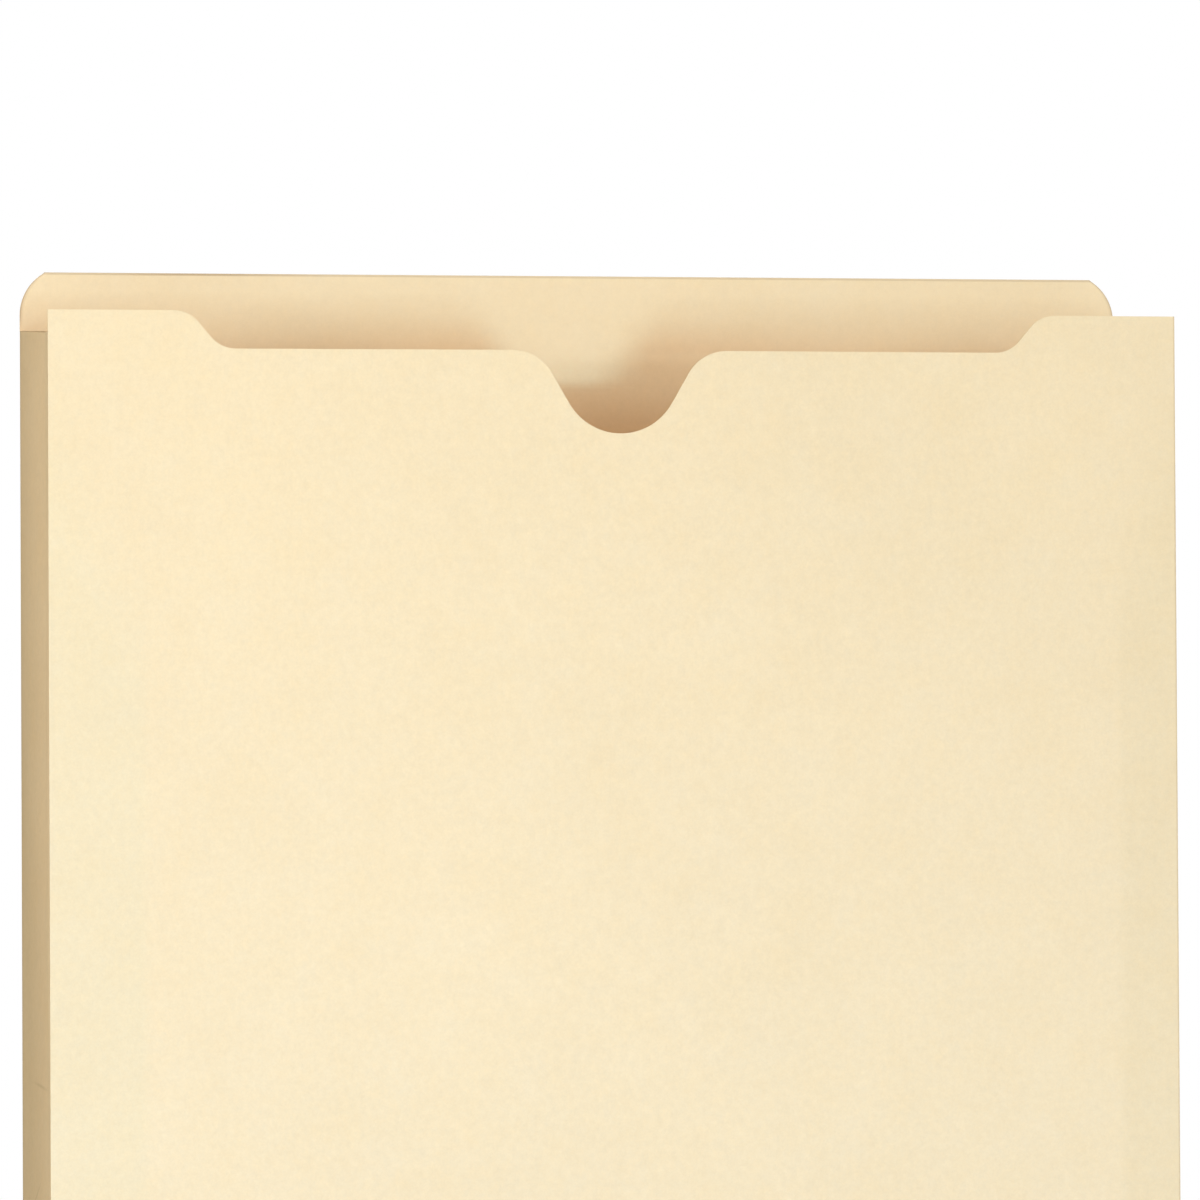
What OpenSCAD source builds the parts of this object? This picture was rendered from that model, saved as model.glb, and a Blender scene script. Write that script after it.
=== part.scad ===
// Expanding file jacket: a card pocket with a folded two-ply tab along the top of its back panel,
// V-fold gussets on both sides and along the bottom, and a front panel with raised corner tongues
// and a thumb notch that is glued to the flaps of the gussets.
// Millimetres. +Z is up, the front faces -Y, and the jacket stands on its two lower folds.

/* [Jacket] */
// Width of the panels from side fold to side fold
jacket_w = 241.3; // [180:0.1:400]
// Height from the lower folds to the top of the tab
jacket_h = 311.15; // [220:0.05:450]
// Depth of the gussets when they are pulled flat
gusset_depth = 50.8; // [20:0.1:90]
// Angle by which each gusset half is folded in at rest
rest_fold = 6; // [3:0.5:20]

/* [Card] */
// Thickness of the card
card_t = 0.28; // [0.2:0.01:0.6]
// Thickness of the glue lines
glue_t = 0.05; // [0.03:0.01:0.15]

/* [Tab] */
// Height of the tab above the upper ends of the side gussets
tab_h = 12.7; // [9.5:0.1:30]
// Radius of the tab's corners
tab_corner_r = 10.4; // [6:0.1:16]
// Depth of the corner arcs' centres below the top fold
tab_corner_drop = 9.2; // [3:0.1:9.4]
// Height of the ply that is folded down inside the tab
ply_h = 23.8; // [18:0.1:40]
// Inset of the ply's lower part from the side folds
ply_inset = 14; // [10:0.5:40]
// Taper of the ply's lower part on each side
ply_taper = 6; // [1:0.5:20]
// Distance of a glue line's ends from the edges of its ply or flap
glue_margin = 2; // [1:0.5:5]

/* [Front panel] */
// Fall from the top of the tab to the corner tongues of the front panel
front_drop = 11.11; // [5:0.01:40]
// Fall from the corner tongues to the middle edge
step_h = 7.94; // [3:0.01:20]
// Distance of the middle of each step from the side fold
step_in = 32.8; // [20:0.1:50]
// Slope of the steps
step_angle = 50; // [30:1:75]
// Radius of the two arcs of each step
step_r = 6.9; // [2:0.1:12]
// Radius of the thumb notch's bottom
notch_r = 12.7; // [8:0.1:18]
// Depth of the thumb notch below the middle edge
notch_depth = 17.46; // [13:0.01:40]
// Angle of the notch's flanks from upright
notch_flank = 30; // [10:1:40]
// Radius of the notch's shoulders
notch_shoulder_r = 9.5; // [2:0.1:14]

/* [Gussets] */
// Fall of the side gussets' upper edge from the back panel to the front panel
gusset_slant = 3.4; // [0:0.1:20]
// Width of the left glue flap
left_flap_w = 20; // [12:0.1:30]
// Width of the right glue flap
right_flap_w = 12.4; // [10:0.1:30]
// Width of the bottom glue flap
bottom_flap_w = 20; // [12:0.1:30]
// Taper of the glue flaps' upper ends
flap_taper = 66; // [0:1:70]
// Width of the glue lines on the flaps
flap_glue_w = 7; // [3:0.1:8]

/* [Folds] */
// Distance of each fold's axis from the inner faces that meet there
fold_gap = 0.05; // [0.02:0.01:0.2]
// Clearance around the bead of a fold
bead_gap = 0.05; // [0.03:0.01:0.15]
// Clearance of the mitred gusset ends and of the corner webs
web_gap = 0.15; // [0.1:0.01:0.5]

/* [Hidden] */
manila = [0.98, 0.92, 0.77];
manila_shade = [0.79, 0.70, 0.53];
glue_tint = [0.93, 0.91, 0.84];
half = gusset_depth / 2;
fold_in = card_t + fold_gap;
axis_step = card_t + 2 * fold_gap;
bead_r = fold_in - bead_gap / 2;
groove_r = bead_r + bead_gap;
bead_trim = 2 * bead_r + web_gap;
fold_x = jacket_w / 2 - fold_in;
fold_z = fold_in;
rest_depth = gusset_depth * cos(rest_fold) + 2 * axis_step * sin(rest_fold);
back_fold_y = (rest_depth + 2 * fold_gap + 3 * card_t + glue_t) / 2 - fold_in;
front_fold_y = back_fold_y - rest_depth;
back_in_y = back_fold_y + fold_gap;
flap_out_y = front_fold_y - fold_in;
front_in_y = flap_out_y - glue_t;
cap_r = card_t + glue_t / 2;
tongue_z = jacket_h - front_drop;
edge_z = tongue_z - step_h;
step_fillet = min(step_r, step_h / 2 / (1 - cos(step_angle)));
step_line = (step_h - 2 * step_fillet * (1 - cos(step_angle))) / sin(step_angle);
step_run = 2 * step_fillet * sin(step_angle) + step_line * cos(step_angle);
step_x = jacket_w / 2 - step_in;
shoulder_r = min(notch_shoulder_r, notch_depth / (1 - sin(notch_flank)) - notch_r);
flank_line = (notch_depth - (notch_r + shoulder_r) * (1 - sin(notch_flank))) / cos(notch_flank);
shoulder_x = (notch_r + shoulder_r) * cos(notch_flank) + flank_line * sin(notch_flank);
notch_z = edge_z - notch_depth + notch_r;
shoulder_z = edge_z - shoulder_r;
long = 2 * (jacket_w + jacket_h);

// Points of an arc about c from angle a to angle b
function arc(c, r, a, b, n = 12) =
  [for (i = [0:n]) let (q = a + (b - a) * i / n) [c[0] + r * cos(q), c[1] + r * sin(q)]];

// A list of points mirrored across x = 0 and put in the other order
function mirrored(p) = [for (i = [len(p) - 1:-1:0]) [-p[i][0], p[i][1]]];

// A point turned by angle a about the origin
function turned(p, a) = [p[0] * cos(a) - p[1] * sin(a), p[0] * sin(a) + p[1] * cos(a)];

// Height of a side gusset's upper edge at distance v from the back fold
function gusset_top(v) = jacket_h - tab_h - gusset_slant * v / gusset_depth;

// Corner arc of the tab on the right-hand side, from the side fold up to height z
function tab_corner(z) =
  let (c = [jacket_w / 2 - tab_corner_r, jacket_h - tab_corner_drop])
  arc(c, tab_corner_r, 0, asin(min(1, (z - c[1]) / tab_corner_r)));

// Right-hand half of the front panel's upper edge, from the notch outwards
function front_edge() = concat(
  arc([0, notch_z], notch_r, -90, -notch_flank),
  arc([shoulder_x, shoulder_z], shoulder_r, 180 - notch_flank, 90),
  arc([step_x - step_run / 2, edge_z + step_fillet], step_fillet, -90, step_angle - 90),
  arc([step_x + step_run / 2, tongue_z - step_fillet], step_fillet, 90 + step_angle, 90),
  [[jacket_w / 2, tongue_z]]
);

// Inner plane offset: middle of the card of a gusset half, measured from the fold's axis line
function web_in(v, d) = (d - fold_gap - card_t / 2) / cos(rest_fold) + v * tan(rest_fold);

// Upright card with outline p in x and z, its rear face at y
module upright(p, y, t = card_t) {
  translate([0, y, 0])
    rotate([90, 0, 0])
      linear_extrude(t)
        polygon(p);
}

// Card across the depth with outline p in y and z, from x to x + card_t
module crosswise(p, x) {
  translate([x, 0, 0])
    rotate([90, 0, 90])
      linear_extrude(card_t)
        polygon(p);
}

// Round bar along z between two heights
module bar(from, to, r) {
  translate([0, 0, from])
    cylinder(h = to - from, r = r, $fn = 32);
}

// Gusset half beside the back panel, in the frame of its back fold, carrying the centre crease
module rear_half(p, from, to) {
  rotate([0, 0, rest_fold])
    difference() {
      union() {
        crosswise(p, -fold_in);
        translate([-axis_step, -half, 0])
          bar(from, to, bead_r);
      }
      bar(-long, long, groove_r);
    }
}

// Gusset half beside the front panel, in the frame of the back fold
module front_half(p) {
  translate(concat(turned([-axis_step, -half], rest_fold), [0]))
    rotate([0, 0, -rest_fold])
      difference() {
        crosswise(p, fold_gap);
        bar(-long, long, groove_r);
        translate([axis_step, -half, 0])
          bar(-long, long, groove_r);
      }
}

// Frame of the left side's back fold
module at_left() {
  translate([-fold_x, back_fold_y, 0])
    children();
}

// Frame of the bottom's back fold: inwards is up
module at_bottom() {
  translate([0, back_fold_y, fold_z])
    rotate([0, -90, 0])
      children();
}

module side_rear() {
  at_left()
    rear_half(
      [
        [0, fold_z + web_gap], [0, gusset_top(0)],
        [-half, gusset_top(half)], [-half, fold_z + half + web_gap]
      ],
      fold_z + half + bead_trim, gusset_top(half)
    );
}

module side_front() {
  at_left()
    front_half([
      [0, fold_z + half + web_gap], [0, gusset_top(half)],
      [-half, gusset_top(gusset_depth)], [-half, fold_z + web_gap]
    ]);
}

// Left glue flap of width w: mitred at its lower end, tapered at its upper end
module side_flap(w) {
  top = gusset_top(gusset_depth);
  x = -jacket_w / 2;
  upright(
    [[x, web_gap], [x + w, w + web_gap], [x + w, top - w * tan(flap_taper)], [x, top]],
    front_fold_y - fold_gap
  );
  translate([-fold_x, front_fold_y, 0])
    bar(fold_z + bead_trim, top, bead_r);
}

// Glue line down the middle of a side flap of width w
module side_glue(w) {
  x = (w - jacket_w - flap_glue_w) / 2;
  low = w + glue_margin;
  high = gusset_top(gusset_depth) - w * tan(flap_taper) - glue_margin;
  upright([[x, low], [x + flap_glue_w, low], [x + flap_glue_w, high], [x, high]], flap_out_y, glue_t);
}

// Corner web on the left: four flat triangles around one peak, where the side gusset meets the bottom one
module corner_web() {
  mid_y = (back_fold_y + front_fold_y) / 2;
  // Offset of the card's two faces: inner first, then outer
  faces = [card_t / 2, -card_t / 2];
  p = [
    for (d = faces)
      each [
        [-fold_x + web_in(0, d), back_fold_y, fold_z + web_in(0, d)],
        [-fold_x + web_in(0, d), front_fold_y, fold_z + web_in(0, d)],
        [-fold_x + web_in(rest_depth / 2, d), mid_y, fold_z + web_in(rest_depth / 2, d)],
        [-fold_x + web_in(rest_depth / 2, d), mid_y, fold_z + half],
        [-fold_x + half, mid_y, fold_z + web_in(rest_depth / 2, d)]
      ]
  ];
  difference() {
    polyhedron(
      p,
      [
        [0, 2, 3], [2, 1, 3], [2, 0, 4], [1, 2, 4],
        [7, 5, 8], [6, 7, 8], [5, 7, 9], [7, 6, 9],
        [0, 3, 8], [0, 8, 5], [3, 1, 6], [3, 6, 8],
        [1, 4, 9], [1, 9, 6], [4, 0, 5], [4, 5, 9]
      ]
    );
    for (y = [back_fold_y, front_fold_y]) {
      translate([-fold_x, y, 0])
        bar(-long, long, groove_r);
      translate([0, y, fold_z])
        rotate([0, 90, 0])
          bar(-long, long, groove_r);
    }
  }
}

module back_panel() {
  edge = concat([[jacket_w / 2, 0]], tab_corner(jacket_h - cap_r));
  color(manila)
    union() {
      upright(concat(edge, mirrored(edge)), back_in_y + card_t);
      for (x = [-fold_x, fold_x])
        translate([x, back_fold_y, 0])
          bar(fold_z + bead_trim, gusset_top(0), bead_r);
      translate([0, back_fold_y, fold_z])
        rotate([0, 90, 0])
          bar(-fold_x, fold_x, bead_r);
    }
}

module tab_ply() {
  low = jacket_h - ply_h;
  shoulder = jacket_h - tab_h + 3 * web_gap;
  wide = jacket_w / 2 - ply_inset;
  edge = concat(
    [[wide - ply_taper, low], [wide, shoulder], [jacket_w / 2, shoulder]],
    tab_corner(jacket_h)
  );
  mid_y = back_in_y - glue_t / 2;
  front_y = mid_y - cap_r;
  turn_z = jacket_h - cap_r;
  color(manila)
    intersection() {
      upright(concat(edge, mirrored(edge)), back_in_y + 2 * cap_r, 4 * cap_r);
      translate([-jacket_w / 2, 0, 0])
        rotate([90, 0, 90])
          linear_extrude(jacket_w)
            polygon(concat(
              [[front_y, low], [front_y + card_t, low], [front_y + card_t, turn_z]],
              arc([mid_y, turn_z], cap_r, 0, 180)
            ));
    }
}

module tab_glue() {
  x = jacket_w / 2 - ply_inset - ply_taper - glue_margin;
  low = jacket_h - ply_h + glue_margin;
  high = jacket_h - cap_r - glue_margin;
  color(glue_tint)
    upright([[-x, low], [x, low], [x, high], [-x, high]], back_in_y, glue_t);
}

module front_panel() {
  edge = concat(front_edge(), [[jacket_w / 2, 0]]);
  color(manila)
    upright(concat(mirrored(edge), [for (i = [1:len(edge) - 1]) edge[i]]), front_in_y);
}

module left_gusset_rear() {
  color(manila_shade)
    side_rear();
}

module left_gusset_front() {
  color(manila_shade)
    side_front();
}

module right_gusset_rear() {
  color(manila_shade)
    mirror([1, 0, 0])
      side_rear();
}

module right_gusset_front() {
  color(manila_shade)
    mirror([1, 0, 0])
      side_front();
}

module bottom_gusset_rear() {
  near = fold_x - web_gap;
  far = near - half;
  color(manila_shade)
    at_bottom()
      rear_half([[0, -near], [0, near], [-half, far], [-half, -far]], bead_trim - far, far - bead_trim);
}

module bottom_gusset_front() {
  near = fold_x - web_gap;
  far = near - half;
  color(manila_shade)
    at_bottom()
      front_half([[0, -far], [0, far], [-half, near], [-half, -near]]);
}

module left_glue_flap() {
  color(manila)
    side_flap(left_flap_w);
}

module right_glue_flap() {
  color(manila)
    mirror([1, 0, 0])
      side_flap(right_flap_w);
}

module bottom_glue_flap() {
  x = jacket_w / 2 - web_gap;
  w = bottom_flap_w;
  color(manila)
    union() {
      upright([[-x, 0], [x, 0], [x - w, w], [w - x, w]], front_fold_y - fold_gap);
      translate([0, front_fold_y, fold_z])
        rotate([0, 90, 0])
          bar(bead_trim - fold_x, fold_x - bead_trim, bead_r);
    }
}

module left_flap_glue() {
  color(glue_tint)
    side_glue(left_flap_w);
}

module right_flap_glue() {
  color(glue_tint)
    mirror([1, 0, 0])
      side_glue(right_flap_w);
}

module bottom_flap_glue() {
  x = jacket_w / 2 - bottom_flap_w - glue_margin;
  low = (bottom_flap_w - flap_glue_w) / 2;
  high = low + flap_glue_w;
  color(glue_tint)
    upright([[-x, low], [x, low], [x, high], [-x, high]], flap_out_y, glue_t);
}

module left_corner_web() {
  color(manila_shade)
    corner_web();
}

module right_corner_web() {
  color(manila_shade)
    mirror([1, 0, 0])
      corner_web();
}

back_panel();
tab_ply();
tab_glue();
front_panel();
left_gusset_rear();
left_gusset_front();
right_gusset_rear();
right_gusset_front();
bottom_gusset_rear();
bottom_gusset_front();
left_glue_flap();
right_glue_flap();
bottom_glue_flap();
left_flap_glue();
right_flap_glue();
bottom_flap_glue();
left_corner_web();
right_corner_web();
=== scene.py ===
# %% [markdown]
# # An expanding file jacket in manila card
#
# The jacket is a tall pocket of thin card: a back panel whose upper end is folded over into a two-ply tab,
# V-folded gussets on both sides and along the bottom, and a front panel with raised corner tongues and a
# thumb notch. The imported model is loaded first, because it fixes the size, the place and the joints of every
# piece. All lengths are in metres, the front faces -Y, and the jacket stands on Z = 0.

import bpy
import numpy as np
from mathutils import Matrix, Vector


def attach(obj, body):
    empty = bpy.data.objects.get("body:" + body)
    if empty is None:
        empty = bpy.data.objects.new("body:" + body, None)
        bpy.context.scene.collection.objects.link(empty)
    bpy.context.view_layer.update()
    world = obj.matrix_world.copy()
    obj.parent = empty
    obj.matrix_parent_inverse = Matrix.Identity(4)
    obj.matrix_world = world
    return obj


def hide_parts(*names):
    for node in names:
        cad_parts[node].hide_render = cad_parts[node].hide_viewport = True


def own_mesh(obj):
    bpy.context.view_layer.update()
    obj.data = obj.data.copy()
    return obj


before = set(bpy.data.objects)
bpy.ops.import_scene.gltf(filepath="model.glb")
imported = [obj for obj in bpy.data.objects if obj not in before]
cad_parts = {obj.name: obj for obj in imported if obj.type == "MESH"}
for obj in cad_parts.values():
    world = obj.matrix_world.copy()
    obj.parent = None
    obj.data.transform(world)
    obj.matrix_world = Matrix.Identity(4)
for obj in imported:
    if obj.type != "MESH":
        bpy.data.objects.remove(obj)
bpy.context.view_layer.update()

# %% [markdown]
# ## The jacket's measures
#
# Folded card is easiest to describe by its fold lines. Each fold turns about an axis that lies a hair inside
# the inner faces of the two panels that meet there, so a bent fold has an outer radius of one card thickness
# plus that hair. The values repeat the ones the solids were made from, so new surfaces land on the solids.

# %% Measures
MM = 0.001
WIDTH, HEIGHT, DEPTH = 241.3 * MM, 311.15 * MM, 50.8 * MM
CARD, GLUE, HAIR = 0.28 * MM, 0.05 * MM, 0.05 * MM
TAB, PLY, SLANT, WEB_GAP = 12.7 * MM, 23.8 * MM, 3.4 * MM, 0.15 * MM
REST = np.radians(6.0)
HALF = DEPTH / 2
FOLD, BEND, CREASE = CARD + HAIR, CARD / 2 + HAIR, CARD + 2 * HAIR
fold_x, fold_z = WIDTH / 2 - FOLD, FOLD
rest_depth = DEPTH * np.cos(REST) + 2 * CREASE * np.sin(REST)
back_y = (rest_depth + 2 * HAIR + 3 * CARD + GLUE) / 2 - FOLD
front_y = back_y - rest_depth
print("back fold at y", round(back_y, 6), "front fold at y", round(front_y, 6))

# %% [markdown]
# ## The camera
#
# The photograph was taken from a long way off, a little to the left of the jacket and a little below its
# upper edge, so a long lens is used. The camera is turned by three angles about a target on the front panel:
# first round the jacket, then up, then about its own line of sight.

# %% Camera
YAW, PITCH, ROLL = np.radians([-10.89, -1.31, -0.303])
TARGET, DISTANCE = np.array([-4.42, -25.796, 239.67]) * MM, 1.572
LENS, SENSOR = 224.58, 36.0


def camera_axes(yaw, pitch, roll):
    """Right, up and backward directions: backward from two angles, the others turned about it by roll."""
    backward = np.array([np.sin(yaw) * np.cos(pitch), -np.cos(yaw) * np.cos(pitch), np.sin(pitch)])
    right = np.cross(-backward, [0.0, 0.0, 1.0])
    right /= np.linalg.norm(right)
    up = np.cross(right, -backward)
    turned = right * np.cos(roll) + up * np.sin(roll), up * np.cos(roll) - right * np.sin(roll)
    return turned[0], turned[1], backward


def place(obj, axes, point):
    """Gives an object the three axes as its columns and the point as its place."""
    obj.matrix_world = Matrix(np.vstack([np.column_stack([*axes, point]), [0, 0, 0, 1]]).tolist())


camera = bpy.data.objects.new("camera", bpy.data.cameras.new("camera"))
bpy.context.scene.collection.objects.link(camera)
camera.data.lens, camera.data.sensor_width = LENS, SENSOR
view_axes = camera_axes(YAW, PITCH, ROLL)
place(camera, view_axes, TARGET + DISTANCE * view_axes[2])
bpy.context.scene.camera = camera
print("camera at", np.round(TARGET + DISTANCE * view_axes[2], 4))

# %% [markdown]
# ## Small helpers for shader nodes
#
# A material is a graph of nodes. A few helpers keep it readable: one adds a node and fills its sockets with
# numbers or with links from other nodes, three wrap the nodes that are used most, and two make and place node
# groups. Groups only put out masks, values and colours; the shader itself stays in each material.


# %% Node helpers
def add(tree, kind, sockets=None, **settings):
    """Adds a node: settings are its properties, sockets maps input names to numbers or to other sockets."""
    made = tree.nodes.new(kind)
    for key, value in settings.items():
        setattr(made, key, value)
    for key, value in (sockets or {}).items():
        if isinstance(value, bpy.types.NodeSocket):
            tree.links.new(value, made.inputs[key])
        else:
            made.inputs[key].default_value = value
    return made


def math(tree, operation, a, b=0.0, c=0.0):
    """The result of one Math node."""
    return add(tree, "ShaderNodeMath", {0: a, 1: b, 2: c}, operation=operation).outputs[0]


def ramp(tree, value, start, end, kind="SMOOTHSTEP"):
    """Zero at start, one at end, and a smooth or, with kind LINEAR, a straight rise between them."""
    sockets = {"Value": value, "From Min": start, "From Max": end, "To Min": 0.0, "To Max": 1.0}
    return add(tree, "ShaderNodeMapRange", sockets, interpolation_type=kind).outputs[0]


def mix(tree, factor, a, b, blend="MIX"):
    """Colour a where the factor is zero and, where it is one, colour b or the blend of both."""
    sockets = {"Factor": factor, "A": a, "B": b}
    return add(tree, "ShaderNodeMix", sockets, data_type="RGBA", blend_type=blend).outputs["Result"]


print("node helpers ready")


# %% Group helpers
def group(name, inputs, outputs):
    """An empty shader group with float or vector inputs, given with their values, and named outputs."""
    tree = bpy.data.node_groups.new(name, "ShaderNodeTree")
    for key, value in inputs.items():
        kind = "NodeSocketVector" if isinstance(value, tuple) else "NodeSocketFloat"
        socket = tree.interface.new_socket(key, in_out="INPUT", socket_type=kind)
        socket.default_value = value
    for key in outputs:
        tree.interface.new_socket(key, in_out="OUTPUT", socket_type="NodeSocketFloat")
    return tree, tree.nodes.new("NodeGroupInput").outputs, tree.nodes.new("NodeGroupOutput").inputs


def use(tree, shared, sockets):
    """Places a node group in a tree and returns its outputs."""
    return add(tree, "ShaderNodeGroup", sockets, node_tree=shared).outputs


print("group helpers ready")

# %% [markdown]
# ## Card fibre
#
# Manila card is pressed wood pulp: close up it shows half-millimetre flecks, softer mottling and patches a
# few millimetres wide and slow clouds, some spots warmer and some cooler than their neighbours. Photographs
# of card would repeat or blur, so noise of several sizes on Object coordinates gives the same picture at any
# distance. The lighter patches are made a little warmer too, as pulp is where fewer fibres cross. One group
# serves every card finish.

# %% Group: card fibre
ZERO, EVEN, UPRIGHT = (0.0, 0.0, 0.0), (1.0, 1.0, 1.0), (1.0, 1.0, 0.22)
# For each size of noise: how many to the metre, its detail, how far it is moved aside, and its stretch.
NOISE_SIZES = {
    "fleck": (2100, 2, 0.3, EVEN),
    "strand": (1300, 3, 0.9, UPRIGHT),
    "mottle": (620, 3, 0.7, EVEN),
    "patch": (230, 2, 0.5, EVEN),
    "cloud": (24, 2, 0.1, EVEN),
    "spot_warmth": (1250, 2, 1.7, EVEN),
    "patch_warmth": (210, 2, 3.1, EVEN),
    "cloud_warmth": (55, 2, 2.3, EVEN),
}
FINE_TONE = {"fleck": 0.085, "strand": 0.025, "mottle": 0.105, "patch": 0.045}
FINE_WARMTH = {"spot_warmth": 1.0, "patch": 0.55, "patch_warmth": 0.8}
CLOUD_TONE, STRAND_HEIGHT, NOISE_ROUGHNESS = 0.05, 0.8, 0.6
fibre, given, out = group("card_fibre", {"Vector": ZERO, "Fleck": 1.0}, ["Tone", "Warmth", "Height"])


def pulp(scale, detail, shift, stretch):
    """Noise about zero: one size of fleck, moved aside so that the sizes do not line up."""
    sockets = {"Vector": given["Vector"], "Location": (shift,) * 3, "Scale": stretch}
    where = add(fibre, "ShaderNodeMapping", sockets).outputs[0]
    sockets = {"Vector": where, "Scale": scale, "Detail": detail, "Roughness": NOISE_ROUGHNESS}
    return math(fibre, "SUBTRACT", add(fibre, "ShaderNodeTexNoise", sockets).outputs[0], 0.5)


def weighted(weights):
    """The sum of several sizes of noise, each times its weight."""
    total = 0.0
    for name, weight in weights.items():
        total = math(fibre, "MULTIPLY_ADD", noise[name], weight, total)
    return total


noise = {name: pulp(*size) for name, size in NOISE_SIZES.items()}
cloud_tone = math(fibre, "MULTIPLY_ADD", noise["cloud"], CLOUD_TONE, 1.0)
cloud_warmth = math(fibre, "ADD", noise["cloud_warmth"], 0.5)
made = {
    "Tone": math(fibre, "MULTIPLY_ADD", weighted(FINE_TONE), given["Fleck"], cloud_tone),
    "Warmth": math(fibre, "MULTIPLY_ADD", weighted(FINE_WARMTH), given["Fleck"], cloud_warmth),
    "Height": math(fibre, "MULTIPLY_ADD", noise["strand"], STRAND_HEIGHT, noise["mottle"]),
}
for name, socket in made.items():
    fibre.links.new(socket, out[name])
print("group", fibre.name, "with", len(fibre.nodes), "nodes")

# %% [markdown]
# ## Marks: crease lines and the shadow of glued flaps
#
# Two smaller groups draw what handling and glue leave on the card. A crease line is a short line where the
# card was once bent a little: its mask dents the bump and darkens the colour as painted shade in the crease. A
# flap mark is the faintly darker band where a glued flap lies behind the front panel: it has the flap's width
# and its mitred lower end, and fades out towards the flap's slanting top. Both are products of soft masks, one
# for each side of the mark.

# %% Group: crease line
CREASE_THROUGH = 30 * MM
crease_inputs = {"Vector": ZERO, "Centre": ZERO, "Angle": ZERO, "Length": 20 * MM, "Width": 0.4 * MM}
crease_line, given, out = group("crease_line", crease_inputs, ["Mask"])
sockets = {0: given["Vector"], 1: given["Centre"]}
from_centre = add(crease_line, "ShaderNodeVectorMath", sockets, operation="SUBTRACT").outputs[0]
sockets = {"Vector": from_centre, "Rotation": given["Angle"]}
levelled = add(crease_line, "ShaderNodeVectorRotate", sockets, rotation_type="EULER_XYZ").outputs[0]
apart = add(crease_line, "ShaderNodeSeparateXYZ", {0: levelled}).outputs
mask = 1.0
for axis, limit in (("X", CREASE_THROUGH), ("Y", given["Length"]), ("Z", given["Width"])):
    share = math(crease_line, "DIVIDE", math(crease_line, "ABSOLUTE", apart[axis]), limit)
    mask = math(crease_line, "MULTIPLY", ramp(crease_line, share, 1.0, 0.0), mask)
crease_line.links.new(mask, out["Mask"])
print("group", crease_line.name)

# %% Group: flap mark
EDGE_SOFT, MITRE_SOFT, TOP_FADE = 1.8 * MM, 0.6 * MM, 45 * MM
band_inputs = {"Inward": 0.0, "Along": 0.0, "Width": 20 * MM, "Reach": 1.0, "Slope": 1.0}
flap_mark, given, out = group("flap_mark", band_inputs, ["Mask"])
to_inner_edge = math(flap_mark, "SUBTRACT", given["Width"], given["Inward"])
above_mitre = math(flap_mark, "SUBTRACT", given["Along"], given["Inward"])
slanting = math(flap_mark, "MULTIPLY_ADD", given["Inward"], given["Slope"], given["Along"])
below_slant = math(flap_mark, "SUBTRACT", given["Reach"], slanting)
mask = ramp(flap_mark, to_inner_edge, -EDGE_SOFT, EDGE_SOFT)
mask = math(flap_mark, "MULTIPLY", ramp(flap_mark, above_mitre, -MITRE_SOFT, MITRE_SOFT), mask)
mask = math(flap_mark, "MULTIPLY", ramp(flap_mark, below_slant, 0.0, TOP_FADE), mask)
flap_mark.links.new(mask, out["Mask"])
print("group", flap_mark.name)

# %% [markdown]
# ## The card finishes
#
# All card shares one recipe: a pale and a warm manila are mixed by the fibre's warmth, the fibre's tone makes
# the mix lighter or darker, and the fibre's height feeds a fine bump. Paper is very rough with little shine.
# The attribute `fold_wear` is painted on each sheet's own points, so folds and edges turn a little darker
# where fingers touch them most. Marks such as flap bands are multiplied in afterwards.

# %% Card recipe
PALE, WARM = (0.930, 0.800, 0.560, 1.0), (0.922, 0.768, 0.504, 1.0)
SOILED, SOILING = (0.60, 0.47, 0.30, 1.0), 0.35
CARD_ROUGHNESS, CARD_SHINE = 0.92, 0.18
BUMP_STRENGTH, BUMP_DEPTH = 0.35, 0.06 * MM


def card_finish(name, pale, warm, fleck, marks=None, soiling=SOILING):
    """A card material: fibre-mixed colour, soiled along folds, with extra dark marks multiplied in."""
    made = bpy.data.materials.new(name)
    made.use_nodes = True
    tree = made.node_tree
    shader = tree.nodes["Principled BSDF"]
    where = add(tree, "ShaderNodeTexCoord").outputs["Object"]
    grain = use(tree, fibre, {"Vector": where, "Fleck": fleck})
    sockets = {0: mix(tree, grain["Warmth"], pale, warm), 1: grain["Tone"]}
    toned = add(tree, "ShaderNodeVectorMath", sockets, operation="MULTIPLY").outputs[0]
    worn = add(tree, "ShaderNodeAttribute", attribute_name="fold_wear").outputs["Fac"]
    colour, height = mix(tree, math(tree, "MULTIPLY", worn, soiling), toned, SOILED), grain["Height"]
    if marks:
        colour, height = marks(tree, where, colour, height)
    sockets = {"Height": height, "Strength": BUMP_STRENGTH, "Distance": BUMP_DEPTH}
    tree.links.new(colour, shader.inputs["Base Color"])
    tree.links.new(add(tree, "ShaderNodeBump", sockets).outputs[0], shader.inputs["Normal"])
    shader.inputs["Roughness"].default_value = CARD_ROUGHNESS
    shader.inputs["Specular IOR Level"].default_value = CARD_SHINE
    return made


print("card recipe ready")
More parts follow.
